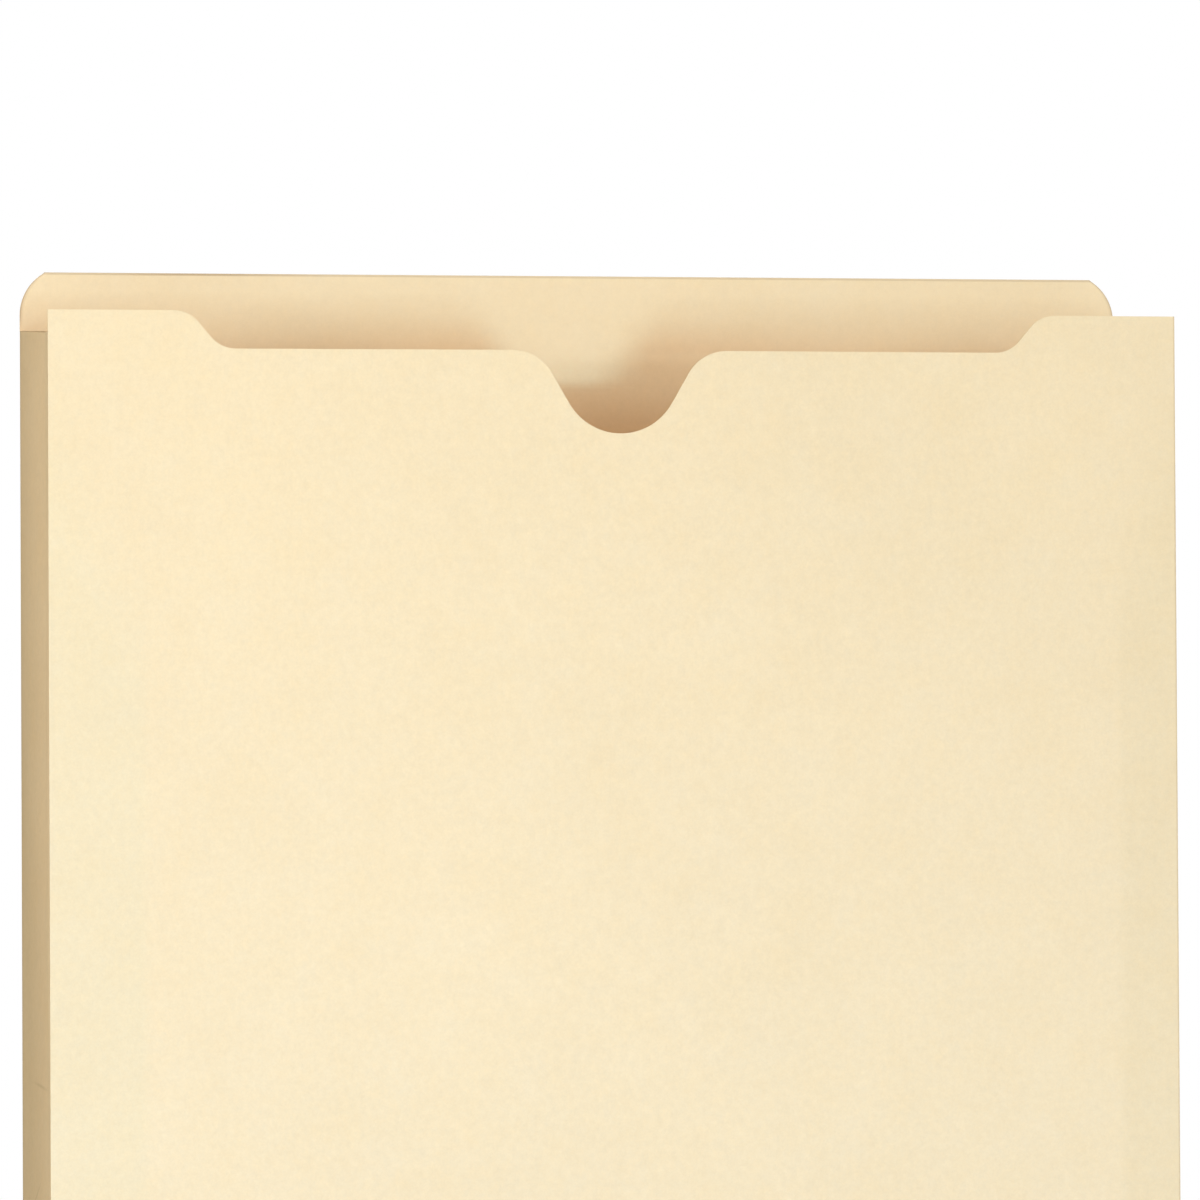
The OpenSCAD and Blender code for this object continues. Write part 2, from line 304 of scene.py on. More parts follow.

# %% [markdown]
# ## Bands, painted shade and creases on the panels
#
# On the real jacket the three glue flaps show faintly through the front panel. The front panel's upper part is
# painted darker and yellower, as painted shade. The inside of the mouth is painted browner, as painted shade,
# and the gussets get painted shade towards their back folds. The left gusset has slight handling creases near
# its lower end, darkened as painted shade. These are functions that a finish calls with its own node tree:
# they take the colour and the height, and hand both back with the marks worked in.

# %% Marks for the front panel
FLAP_TOP, FLAP_SLOPE = HEIGHT - TAB - SLANT, float(np.tan(np.radians(66.0)))
LEFT_FLAP, RIGHT_FLAP, BOTTOM_FLAP = 20 * MM, 12.4 * MM, 20 * MM
LEFT_BAND, RIGHT_BAND = (0.976, 0.995, 0.999, 1.0), (0.968, 0.966, 0.950, 1.0)
BOTTOM_BAND, TOP_SHADE = (0.976, 0.990, 0.996, 1.0), (0.932, 0.902, 0.845, 1.0)
TOP_SHADE_START, TOP_SHADE_END = 130 * MM, 300 * MM


def darken(tree, colour, mask, tint):
    """Multiplies the colour by a tint where the mask is one."""
    return mix(tree, mask, colour, tint, "MULTIPLY")


def front_marks(tree, where, colour, height):
    """Three faint bands where the flaps lie behind the front panel, and painted shade, darker and yellower
    towards its upper edge.
    """
    apart = add(tree, "ShaderNodeSeparateXYZ", {0: where}).outputs
    from_left = math(tree, "ADD", apart["X"], WIDTH / 2)
    from_right = math(tree, "SUBTRACT", WIDTH / 2, apart["X"])
    bands = (
        (from_left, apart["Z"], LEFT_FLAP, FLAP_TOP, FLAP_SLOPE, LEFT_BAND),
        (from_right, apart["Z"], RIGHT_FLAP, FLAP_TOP, FLAP_SLOPE, RIGHT_BAND),
        (apart["Z"], from_left, BOTTOM_FLAP, WIDTH, 1.0, BOTTOM_BAND),
    )
    # painted shade: the upper part of the front panel darker and yellower
    colour = darken(tree, colour, ramp(tree, apart["Z"], TOP_SHADE_START, TOP_SHADE_END, "LINEAR"), TOP_SHADE)
    for inward, along, width, reach, slope, tint in bands:
        sockets = {"Inward": inward, "Along": along, "Width": width, "Reach": reach, "Slope": slope}
        colour = darken(tree, colour, use(tree, flap_mark, sockets)["Mask"], tint)
    return colour, height


print("marks for the front panel ready")

# %% Marks for the back panel and the gussets
GREY_TONE_AND_SHADE, BROWN_SHADE = (0.78, 0.745, 0.70, 1.0), (0.97, 0.775, 0.66, 1.0)
PAINTED_SHADE_TINT, CREASE_SHADE = (0.70, 0.70, 0.67, 1.0), (0.86, 0.85, 0.82, 1.0)
# For each handling crease: its centre, its angle about X, its half-length and its half-width.
CREASES = (
    ((-119 * MM, 8.5 * MM, 137.8 * MM), -0.076, 10.5 * MM, 0.6 * MM),
    ((-119 * MM, 13.0 * MM, 114.0 * MM), 0.656, 8.0 * MM, 0.5 * MM),
)


def mouth_marks(tree, where, colour, height):
    """Greyer with a point attribute and browner with its square: an even light tone, and inside the mouth
    painted shade.
    """
    # painted shade inside the mouth, over an even light tone
    tone_and_shade = add(tree, "ShaderNodeAttribute", attribute_name="tone_and_shade").outputs["Fac"]
    colour = darken(tree, colour, tone_and_shade, GREY_TONE_AND_SHADE)
    return darken(tree, colour, math(tree, "MULTIPLY", tone_and_shade, tone_and_shade), BROWN_SHADE), height


def gusset_marks(tree, where, colour, height):
    """Painted shade towards the back fold and the foot, from a point attribute, and short creases, darkened as
    painted shade, on the left gusset.
    """
    painted_shade = add(tree, "ShaderNodeAttribute", attribute_name="painted_shade").outputs["Fac"]
    # painted shade, darker towards the back fold and the foot
    colour = darken(tree, colour, painted_shade, PAINTED_SHADE_TINT)
    for centre, angle, length, width in CREASES:
        sockets = {"Vector": where, "Centre": centre, "Angle": (angle, 0.0, 0.0)}
        line = use(tree, crease_line, {**sockets, "Length": length, "Width": width})["Mask"]
        # painted shade in the crease; the line below dents the bump
        colour = darken(tree, colour, line, CREASE_SHADE)
        height = math(tree, "SUBTRACT", height, line)
    return colour, height


print("marks for the back panel and the gussets ready")

# %% Card finishes
# The back tint is lighter than the front's, painted light; the gusset tint is darker and warmer, painted shade
# on the gussets.
FRONT_TINT, BACK_LIT_TINT, GUSSET_SHADED_TINT = (1.0, 1.035, 1.10), (1.075, 1.085, 1.095), (1.0, 0.895, 0.775)
FULL_FLECK, FAINT_FLECK = 1.0, 0.7


def tinted(tint):
    """The pale and the warm manila, both multiplied by a tint."""
    return [tuple(float(v) for v in np.array(colour) * (*tint, 1.0)) for colour in (PALE, WARM)]


front_card = card_finish("manila_front", *tinted(FRONT_TINT), FULL_FLECK, front_marks)
back_card = card_finish("manila_back_painted_light_and_shade", *tinted(BACK_LIT_TINT), FAINT_FLECK, mouth_marks)
gusset_card = card_finish("manila_gusset_painted_shade", *tinted(GUSSET_SHADED_TINT), FULL_FLECK, gusset_marks)
print("finishes", [m.name for m in (front_card, back_card, gusset_card)])

# %% [markdown]
# ## Cut edges and dried glue
#
# Where the card is cut, the pulp inside shows: a little browner and rougher than the pressed faces, with
# layers a few hundredths of a millimetre thick. The glue between flaps and panels is white glue that dried to
# a thin, slightly shiny film. Both are hidden or narrow, but other views and other light will find them.

# %% Cut edge and glue finishes
CUT_PALE, CUT_WARM, CUT_FLECK = (0.82, 0.66, 0.42, 1.0), (0.74, 0.57, 0.33, 1.0), 2.2
FILM_PALE, FILM_WARM, FILM_FLECK = (0.86, 0.83, 0.72, 1.0), (0.80, 0.74, 0.58, 1.0), 1.6
CUT_ROUGHNESS, FILM_ROUGHNESS, FILM_UNEVENNESS = 0.97, 0.45, 0.3
cut_edge = card_finish("cut_card_edge", CUT_PALE, CUT_WARM, CUT_FLECK, soiling=0.0)
cut_edge.node_tree.nodes["Principled BSDF"].inputs["Roughness"].default_value = CUT_ROUGHNESS

glue_film = bpy.data.materials.new("glue_film")
glue_film.use_nodes = True
tree = glue_film.node_tree
shader = tree.nodes["Principled BSDF"]
where = add(tree, "ShaderNodeTexCoord").outputs["Object"]
grain = use(tree, fibre, {"Vector": where, "Fleck": FILM_FLECK})
roughness = math(tree, "MULTIPLY_ADD", grain["Height"], FILM_UNEVENNESS, FILM_ROUGHNESS)
tree.links.new(mix(tree, grain["Warmth"], FILM_PALE, FILM_WARM), shader.inputs["Base Color"])
tree.links.new(roughness, shader.inputs["Roughness"])
print("finishes", cut_edge.name, glue_film.name)

# %% [markdown]
# ## From two faces to a sheet of card
#
# Every sheet is worked out as two grids of points, one for each face of the card. This helper joins them into
# one closed shell: four-sided faces over both grids and a strip of faces round the rim, which gets the cut
# edge's finish. If the signed volume comes out negative, all faces are turned round, so they point outwards
# whichever way the grid was written.


# %% Shell of a sheet
def card_shell(outer, inner):
    """Vertices and quads of a closed card: both grids, and the rim between their borders."""
    rows, columns = outer.shape[:2]
    index = np.arange(rows * columns).reshape(rows, columns)
    quads = np.stack([index[:-1, :-1], index[1:, :-1], index[1:, 1:], index[:-1, 1:]], -1).reshape(-1, 4)
    border = np.concatenate([index[0, :-1], index[:-1, -1], index[-1, :0:-1], index[:0:-1, 0]])
    onward = np.roll(border, -1)
    rim = np.stack([border, onward, onward + index.size, border + index.size], -1)
    points = np.concatenate([outer.reshape(-1, 3), inner.reshape(-1, 3)])
    faces = np.concatenate([quads, quads[:, ::-1] + index.size, rim])
    a, b, c, d = (points[faces[:, k]] for k in range(4))
    volume = np.sum(a * np.cross(b, c)) + np.sum(a * np.cross(c, d))
    return points, faces if volume > 0 else faces[:, ::-1], len(rim)


print("shell helper ready")

# %% Sheet as a piece
SHARP_FROM = np.radians(38.0)


def paint(mesh, name, outer, inner):
    """Stores a value for each point of the outer and of the inner grid as a named attribute."""
    values = np.concatenate([outer.ravel(), inner.ravel()]).astype(np.float32)
    mesh.attributes.new(name, "FLOAT", "POINT").data.foreach_set("value", values)


def card_piece(name, outer, inner, wear, finish, body, *nodes):
    """Puts a card shell into the scene, paints fold_wear on its points and ties it to its body and solids."""
    points, faces, rim = card_shell(outer, inner)
    mesh = bpy.data.meshes.new(name)
    mesh.from_pydata(points.tolist(), [], faces.tolist())
    mesh.materials.append(finish)
    mesh.materials.append(cut_edge)
    on_rim = np.arange(len(faces)) >= len(faces) - rim
    mesh.polygons.foreach_set("material_index", on_rim.astype(np.int32))
    mesh.polygons.foreach_set("use_smooth", np.ones(len(faces), bool))
    mesh.set_sharp_from_angle(angle=SHARP_FROM)
    paint(mesh, "fold_wear", wear, wear)
    made = bpy.data.objects.new(name, mesh)
    bpy.context.scene.collection.objects.link(made)
    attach(made, body)
    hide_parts(*nodes)
    print(name, "faces", len(faces), "box", np.round(points.min(0), 4), np.round(points.max(0), 4))
    return made


print("sheets turn sharp from", round(np.degrees(SHARP_FROM)), "degrees")

# %% [markdown]
# ## The front panel
#
# The front panel is a plain sheet with a shaped upper edge: a round thumb notch in the middle and a raised
# tongue at each corner, joined by straight runs and S-shaped steps. The edge is a height over x, so the sheet
# can be a grid whose columns stand at chosen x and whose rows rise from the bottom to that edge. The columns
# crowd together where the edge bends. A slight outward bow, zero where the flaps hold it, keeps it from
# looking like a metal plate.

# %% Upper edge of the front panel
TONGUE_Z, EDGE_Z = HEIGHT - 11.11 * MM, HEIGHT - 19.05 * MM
NOTCH_R, NOTCH_DEPTH, FLANK, SHOULDER_R = 12.7 * MM, 17.46 * MM, np.radians(30.0), 9.5 * MM
STEP_IN, STEP_ANGLE, STEP_R = 32.8 * MM, np.radians(50.0), 6.9 * MM


def arc(x, z, radius, start, end, count=16):
    """Points on a circle about (x, z) from one angle to another, in degrees."""
    angle = np.radians(np.linspace(start, end, count))
    return np.stack([x + radius * np.cos(angle), z + radius * np.sin(angle)], -1)


def front_edge():
    """Right half of the edge, from the notch outwards: notch arc, shoulder arc, lower and upper step arc."""
    line = (NOTCH_DEPTH - (NOTCH_R + SHOULDER_R) * (1 - np.sin(FLANK))) / np.cos(FLANK)
    shoulder_x = (NOTCH_R + SHOULDER_R) * np.cos(FLANK) + line * np.sin(FLANK)
    rise = TONGUE_Z - EDGE_Z
    fillet = min(STEP_R, rise / 2 / (1 - np.cos(STEP_ANGLE)))
    slope = (rise - 2 * fillet * (1 - np.cos(STEP_ANGLE))) / np.sin(STEP_ANGLE)
    run = 2 * fillet * np.sin(STEP_ANGLE) + slope * np.cos(STEP_ANGLE)
    step_x, tilt = WIDTH / 2 - STEP_IN, np.degrees(STEP_ANGLE)
    return np.concatenate([
        arc(0, EDGE_Z - NOTCH_DEPTH + NOTCH_R, NOTCH_R, -90, -np.degrees(FLANK)),
        arc(shoulder_x, EDGE_Z - SHOULDER_R, SHOULDER_R, 180 - np.degrees(FLANK), 90),
        arc(step_x - run / 2, EDGE_Z + fillet, fillet, -90, tilt - 90),
        arc(step_x + run / 2, TONGUE_Z - fillet, fillet, 90 + tilt, 90),
        [[WIDTH / 2, TONGUE_Z]],
    ])


edge = front_edge()
edge = np.concatenate([edge[:0:-1] * [-1, 1], edge])
print("edge points", len(edge), "lowest", edge[:, 1].min(), "highest", edge[:, 1].max())

# %% Front panel sheet
FRONT_IN, ROW_SPLIT = front_y - FOLD - GLUE, 240 * MM
FRONT_BOW, FULL_BOW_Z = 1.1 * MM, 260 * MM
RUBBED_EDGE, EDGE_WEAR = 0.4 * MM, 2.0


def smooth(value, start, end):
    """Smooth step from zero at start to one at end: three times the square minus twice the cube."""
    t = np.clip((value - start) / (end - start), 0, 1)
    return t * t * (3 - 2 * t)


def front_bow(x, z):
    """Outward bow: a rounded hump across the width that rises from the lower flap towards the mouth."""
    hump = np.cos(np.pi / 2 * np.clip(x / (WIDTH / 2 - LEFT_FLAP), -1, 1)) ** 2
    return FRONT_BOW * hump * smooth(z, BOTTOM_FLAP, FULL_BOW_Z)


x = np.concatenate([edge[:, 0], np.linspace(-WIDTH / 2, WIDTH / 2, 61), [WIDTH / 2 - RUBBED_EDGE]])
x = np.unique(np.round(x, 6))
top = np.interp(x, edge[:, 0], edge[:, 1])
low_rows = np.tile(np.linspace(0, ROW_SPLIT, 31)[:, None], (1, len(x)))
high_rows = ROW_SPLIT + np.linspace(0, 1, 13)[1:, None] * (top - ROW_SPLIT)
z = np.vstack([low_rows, high_rows])
x = np.broadcast_to(x, z.shape)
face = np.stack([x, FRONT_IN - CARD - front_bow(x, z), z], -1)
worn = EDGE_WEAR * smooth(x, WIDTH / 2 - RUBBED_EDGE, WIDTH / 2)
card_piece("front_panel_sheet", face, face + [0, CARD, 0], worn, front_card, "front", "front_panel")

# %% [markdown]
# ## The back panel and its folded tab
#
# On the real jacket the back panel, the tab and the ply inside the tab are one piece of card: it rises, turns
# round the top fold and comes down again. So one sheet is made by carrying a straight line, whose half-width
# follows the outline, along that bent path. The half-width narrows round the tab's corners, and jumps in at
# the ply's shoulder, where the ply is cut away from the side folds. The ply's lower edge is pressed thin.
# An even light tone lies over all of this card, and inside the mouth painted shade grows browner downwards
# from the tab, apart from a patch of painted light at the notch. Tone and painted shade are a value on each
# point, stored as an attribute.

# %% Outline of the back card
CORNER_R, CORNER_Z = 10.4 * MM, HEIGHT - 9.2 * MM
CAP_R = CARD + GLUE / 2
BACK_IN = back_y + HAIR
PLY_FOOT, PLY_INSET, PLY_TAPER = HEIGHT - PLY, 14 * MM, 6 * MM
JUMP, SHOULDER_RUN = 0.02 * MM, 1 * MM
WIDE_ROWS_END, CLOSE_ROWS_START = 262 * MM, 264 * MM
turn_y, turn_z, turn_r = BACK_IN - GLUE / 2, HEIGHT - CAP_R, CAP_R - CARD / 2
gusset_end, shoulder_z = HEIGHT - TAB, HEIGHT - TAB + 0.06 * MM


def tab_half_width(z):
    """Half the tab's width at a height: full below the corners, then following the corner arc inwards."""
    rise = np.clip(z - CORNER_Z, 0, CORNER_R)
    return WIDTH / 2 - CORNER_R + np.sqrt(CORNER_R**2 - rise**2)


corner_rows = CORNER_Z + (turn_z - CORNER_Z) * np.sin(np.linspace(0, np.pi / 2, 18))
wide_rows = np.linspace(fold_z, WIDE_ROWS_END, 40)
close_rows = np.linspace(CLOSE_ROWS_START, gusset_end, 30)
rise_z = np.concatenate([wide_rows, close_rows, [gusset_end + JUMP], corner_rows])
rise_half = np.where(rise_z <= gusset_end, fold_x, tab_half_width(rise_z))
turn = np.radians(np.linspace(15, 165, 9))
ply_rows = np.linspace(shoulder_z - SHOULDER_RUN, PLY_FOOT, 21)
fall_z = np.concatenate([corner_rows[::-1], [shoulder_z, shoulder_z - JUMP], ply_rows])
taper = (shoulder_z - fall_z) / (shoulder_z - PLY_FOOT)
fall_half = np.where(fall_z >= shoulder_z, tab_half_width(fall_z), WIDTH / 2 - PLY_INSET - PLY_TAPER * taper)
print("rows up", len(rise_z), "round the fold", len(turn), "down", len(fall_z))

# %% Grid of the back card
BACK_BOW, BOW_RISE, BOW_FALL = 0.8 * MM, (10 * MM, 120 * MM), (170 * MM, PLY_FOOT - 4 * MM)
normal_y = np.concatenate([1 + 0 * rise_z, np.cos(turn), -1 + 0 * fall_z])[:, None]
normal_z = np.concatenate([0 * rise_z, np.sin(turn), 0 * fall_z])[:, None]
path_y = turn_y + turn_r * normal_y
path_z = np.concatenate([rise_z, turn_z + turn_r * np.sin(turn), fall_z])
half_width = np.concatenate([rise_half, tab_half_width(turn_z + turn_r * np.sin(turn)), fall_half])


def back_bow(x, z):
    """The back panel bows out a little between its folds and lies flat again below the tab."""
    hump = np.cos(np.pi / 2 * np.clip(x / fold_x, -1, 1)) ** 2
    return BACK_BOW * hump * smooth(z, *BOW_RISE) * (1 - smooth(z, *BOW_FALL))


across = np.sin(np.linspace(-np.pi / 2, np.pi / 2, 81))
x = half_width[:, None] * across
z = path_z[:, None] + 0 * x
y = path_y + back_bow(x, z) * (normal_y > 0.5)
middle = np.stack([x, y, z], -1)
normal = np.stack([0 * x, normal_y + 0 * x, normal_z + 0 * x], -1)
within = normal_y + 0 * x < 0
print("grid of the back card", x.shape)

# %% Darker line along the tab's outline
FOLD_WEAR, FOLD_BAND = 1.5, (HEIGHT - 0.6 * MM, HEIGHT - 0.34 * MM)
DARK_STRETCH, DARK_STRETCH_X, DARK_STRETCH_WIDTH = 1.3, -83 * MM, 18 * MM
CUT_WEAR, CUT_BAND, CUT_START = 2.4, (0.9955, 0.9995), (gusset_end, gusset_end + 1 * MM)
# Darker along the tab's top fold, more over a stretch left of the middle, and along the side cuts above the
# gussets.
dark_stretch = DARK_STRETCH * np.exp(-(((x - DARK_STRETCH_X) / DARK_STRETCH_WIDTH) ** 2))
top_fold = smooth(z, *FOLD_BAND) * (normal_y < 0.5) * (FOLD_WEAR + dark_stretch)
side_cut = CUT_WEAR * smooth(np.abs(across), *CUT_BAND) * smooth(z, *CUT_START)
worn = np.maximum(top_fold, side_cut)
print("most worn", round(worn.max(), 2))

# %% Painted shade inside the mouth
# Pairs are where a soft change starts and ends, in metres across or upwards.
BROWN_TOP, BROWN_DEPTH, BROWN_POWER = 307 * MM, 30 * MM, 0.70
INNER_FADE, INNER_SHARE = (235 * MM, 274 * MM), 0.25
LINE_TONE, LINE_Z, LINE_WIDTH = 0.11, 293 * MM, 4 * MM
NOTCH_TONE, NOTCH_SIDE = 0.13, (22 * MM, 75 * MM)
NOTCH_FOOT, NOTCH_TOP = (293.5 * MM, 295.8 * MM), (297.5 * MM, 303.5 * MM)


def painted_depth_shade(x, z):
    """Painted shade: a power of the depth below the tab, faded far inside, plus a line across and a band at
    the notch.
    """
    deepening = np.clip((BROWN_TOP - z) / BROWN_DEPTH, 0, 1) ** BROWN_POWER
    faded = INNER_SHARE + (1 - INNER_SHARE) * smooth(z, *INNER_FADE)
    line = LINE_TONE * np.exp(-(((z - LINE_Z) / LINE_WIDTH) ** 2))
    band = smooth(z, *NOTCH_FOOT) * (1 - smooth(z, *NOTCH_TOP)) * (1 - smooth(np.abs(x), *NOTCH_SIDE))
    return deepening * faded + line + NOTCH_TONE * band


# painted shade that deepens into the mouth
depth_shade = painted_depth_shade(x, z)
print("brown from", round(depth_shade.min(), 3), "to", round(depth_shade.max(), 3))

# %% Painted light and painted shade inside the mouth
BASE_TONE, RIGHT_LESS, RIGHT_RUN = 0.13, 0.09, (-10 * MM, 60 * MM)
PATCH_X, PATCH_Z, PATCH_HALF, PATCH_FLARE = -2 * MM, 289.7 * MM, 9.7 * MM, 0.61
PATCH_SIDE, PATCH_FOOT = (-7 * MM, 6 * MM), (286 * MM, 289.8 * MM)
LIT_PATCH_FADE, LIT_PATCH_SHARE = (291 * MM, 298 * MM), 0.45
LEFT_TONE, LEFT_RUN, LEFT_RISE = 0.07, (-110 * MM, -50 * MM), (270 * MM, 300 * MM)
CORNER_TONE, CORNER_RUN = 0.1, (-121 * MM, -106 * MM)


def painted_light_patch(x, z):
    """One on a patch of painted light at the notch, whose half-width grows with the height above its foot, and
    zero away.
    """
    half = PATCH_HALF + PATCH_FLARE * (z - PATCH_Z)
    return smooth(half - np.abs(x - PATCH_X), *PATCH_SIDE) * smooth(z, *PATCH_FOOT)


def mouth_tone(x, z, depth_shade):
    """Painted shade, brown outside the patch of painted light and a little at the left end, over an even light
    tone.
    """
    patch = painted_light_patch(x, z)
    left_end = LEFT_TONE * (1 - smooth(x, *LEFT_RUN)) + CORNER_TONE * (1 - smooth(x, *CORNER_RUN))
    total = np.clip(depth_shade * (1 - patch) + left_end * smooth(z, *LEFT_RISE), 0, 1)
    lit_patch = patch * (1 - (1 - LIT_PATCH_SHARE) * smooth(z, *LIT_PATCH_FADE))
    base_tone = BASE_TONE - RIGHT_LESS * smooth(x, *RIGHT_RUN)
    return base_tone * (1 - lit_patch) + (1 - base_tone) * total


tone_and_shade = mouth_tone(x, z, depth_shade)
print("tone inside the mouth from", round(tone_and_shade.min(), 3), "to", round(tone_and_shade.max(), 3))

# %% Back card sheet
PRESSED, PRESSED_RUN = 0.29 * MM, (PLY_FOOT, PLY_FOOT + 6 * MM)
CLOSED, CLOSED_RUN = 0.045 * MM, (PLY_FOOT, PLY_FOOT + 2 * MM)
SPARED, SPARED_RUN, SPARED_RISE = 0.8, (-117 * MM, -109 * MM), (294.5 * MM, 297.5 * MM)
pressed = PRESSED * within * (1 - smooth(z, *PRESSED_RUN))
closed = CLOSED * within * (1 - smooth(z, *CLOSED_RUN))
outer_face = middle + normal * (CARD / 2 - pressed)[..., None]
inner_face = middle - normal * (CARD / 2 + closed)[..., None]
solids = "back_panel", "tab_ply"
back_panel = card_piece("back_panel_and_tab", outer_face, inner_face, worn, back_card, "back", *solids)
# Less painted shade at the tab's left end near the fold, where the tab stays light.
spared_at_fold = SPARED * (1 - smooth(x, *SPARED_RUN)) * smooth(z, *SPARED_RISE)
# Each face gets the even tone, or the painted shade where it looks into the mouth.
inner_tone_and_shade = np.where(within, BASE_TONE, tone_and_shade * (1 - spared_at_fold))
paint(back_panel.data, "tone_and_shade", np.where(within, tone_and_shade, BASE_TONE), inner_tone_and_shade)

# %% [markdown]
# ## The gussets
#
# Each gusset is a strip of card folded inwards along its middle, so it has a rear half and a front half that
# turn about three fold lines. In cross-section a half is a straight line with a rounded bend at its ends: the
# bends are carried round far enough that the folds still look closed when the jacket is pressed flat. The
# cross-section is then carried along the side or the bottom. Card that has been folded is never quite flat,
# so a low, smooth ripple that dies out at the folds is added along its normal.


# %% Cross-sections of the gusset halves
def turned(points, angle):
    """Points or directions in the plane, turned by an angle about the back fold."""
    c, s = np.cos(angle), np.sin(angle)
    return points @ np.array([[c, s], [-s, c]])


def bend(centre, start, end, side, count):
    """Middle line and normals of a bend between two angles in degrees: side 1 is a ridge, -1 a valley."""
    angle = np.radians(np.linspace(start, end, count))
    radial = np.stack([np.cos(angle), np.sin(angle)], -1)
    return np.array(centre) + BEND * radial, side * radial


def gusset_profile(front):
    """Cross-section of a half in the back fold's frame, its normals, and the distance from that fold."""
    run = np.linspace(0, 1, 15)[1:-1]
    flat = np.stack([np.full_like(run, BEND if front else -BEND), -HALF * run], -1)
    flat_normal = np.tile([-1.0, 0.0], (len(run), 1))
    if front:
        first, last = bend((0, 0), 90, 0, -1, 7), bend((CREASE, -HALF), 180, 262, 1, 7)
    else:
        first, last = bend((0, 0), 8, 180, 1, 13), bend((-CREASE, -HALF), 0, -90, -1, 7)
    line = np.concatenate([first[0], flat, last[0]])
    normal = np.concatenate([first[1], flat_normal, last[1]])
    distance = np.concatenate([0 * first[0][:, 0], HALF * run, HALF + 0 * last[0][:, 0]])
    if front:
        crease = turned(np.array([[-CREASE, -HALF]]), REST)
        return crease + turned(line, -REST), turned(normal, -REST), HALF + distance
    return turned(line, REST), turned(normal, REST), distance


for front in (False, True):
    print("front half" if front else "rear half", "profile points", len(gusset_profile(front)[0]))

# %% Ends, ripple and painted shade of a gusset
CREASE_ROOM, CREASE_ROOM_WIDTH = 0.4 * MM, 1.5 * MM
RIPPLE = 0.32 * MM
# For each wave of the ripple: radians to the metre, share of the phase, and weight.
WAVES = ((31, 1.0, 1.0), (73, 2.1, 0.5), (140, -1.0, 0.3))
SHADE_POWER, SHADE_HIGH_UP, SHADE_LOWER_DOWN = 1.5, 0.72, 0.36
SHADE_TOP, SHADE_RUN = 280 * MM, 100 * MM
FOOT_SHADE, FOOT_RUN = 0.15, (120 * MM, 220 * MM)


def mitre(distance):
    """How far an end is cut back for the corner web: a tent, with a little more room at the crease."""
    from_crease = np.abs(distance - HALF)
    return HALF - from_crease + CREASE_ROOM * (1 - smooth(from_crease, 0, CREASE_ROOM_WIDTH))


def ripple(length, phase):
    """The weighted mean of three sine waves along the length, times the ripple's height."""
    waves = sum(weight * np.sin(rate * length + share * phase) for rate, share, weight in WAVES)
    return RIPPLE * waves / sum(weight for _, _, weight in WAVES)


def shade_towards_back(from_front, height):
    """Painted shade on a gusset: more towards the back fold, the more so lower down, and a little at the foot.
    """
    lower_down = np.clip((SHADE_TOP - height) / SHADE_RUN, 0, 1)
    back_shade = from_front**SHADE_POWER * (SHADE_HIGH_UP + SHADE_LOWER_DOWN * lower_down)
    return np.clip(back_shade + FOOT_SHADE * (1 - smooth(height, *FOOT_RUN)), 0, 1)


print("deepest mitre", round(float(mitre(HALF)), 5))

# %% Gusset sheets
FOLD_RUB = 0.6 * MM


def gusset_half(name, side, front, body, phase):
    """A half as profile times length: side -1 or 1 stands at the left or right, 0 lies along the bottom."""
    line, normal, distance = gusset_profile(front)
    if side:
        start, end = fold_z + WEB_GAP + mitre(distance), HEIGHT - TAB - SLANT * distance / DEPTH
    else:
        end = fold_x - WEB_GAP - mitre(distance)
        start = -end
    length = start[:, None] + (end - start)[:, None] * np.linspace(0, 1, 57)
    between_folds = np.sin(np.pi * np.clip(distance / HALF - front, 0, 1))[:, None] ** 2
    shift = between_folds * ripple(length, phase)
    faces = []
    for offset in (CARD / 2, -CARD / 2):
        moved = line[:, None] + normal[:, None] * (shift + offset)[..., None]
        inward, y = moved[..., 0], back_y + moved[..., 1]
        upright = np.stack([side * (fold_x - inward), y, length], -1)
        faces.append(upright if side else np.stack([length, y, fold_z + inward], -1))
    worn = np.broadcast_to((1 - smooth(distance, 0, FOLD_RUB))[:, None], length.shape)
    made = card_piece(name + "_sheet", *faces, worn, gusset_card, body, name)
    from_front = np.broadcast_to(1 - distance[:, None] / DEPTH, length.shape)
    # painted shade towards the back fold and lower down
    painted_shade = shade_towards_back(from_front, length if side else 0 * length)
    paint(made.data, "painted_shade", painted_shade, painted_shade)


for place_name, side, phase in (("left", -1, 0.4), ("right", 1, 2.2), ("bottom", 0, 4.1)):
    for front in (False, True):
        end_name = "front" if front else "rear"
        gusset_half(f"{place_name}_gusset_{end_name}", side, front, f"{place_name}_{end_name}", phase + front)

# %% [markdown]
# ## The corner webs
#
# At each lower corner the side gusset and the bottom gusset meet in a web, a small pocket of card that folds
# in on itself when the jacket is pressed flat. Its surface runs from the side's mitred edge over a valley to
# the bottom's mitred edge, and narrows to a point at the back and front folds. It has no joint of its own and
# is tied to the back panel's body, with a mesh of its own.


# %% Corner webs
WEB_REACH, VALLEY_WEAR = 0.985, 0.05


def web_offset(distance):
    """Inward place of the card's middle at a distance from the fold, on the slanting gusset half."""
    return -(HAIR + CARD / 2) / np.cos(REST) + distance * np.tan(REST)


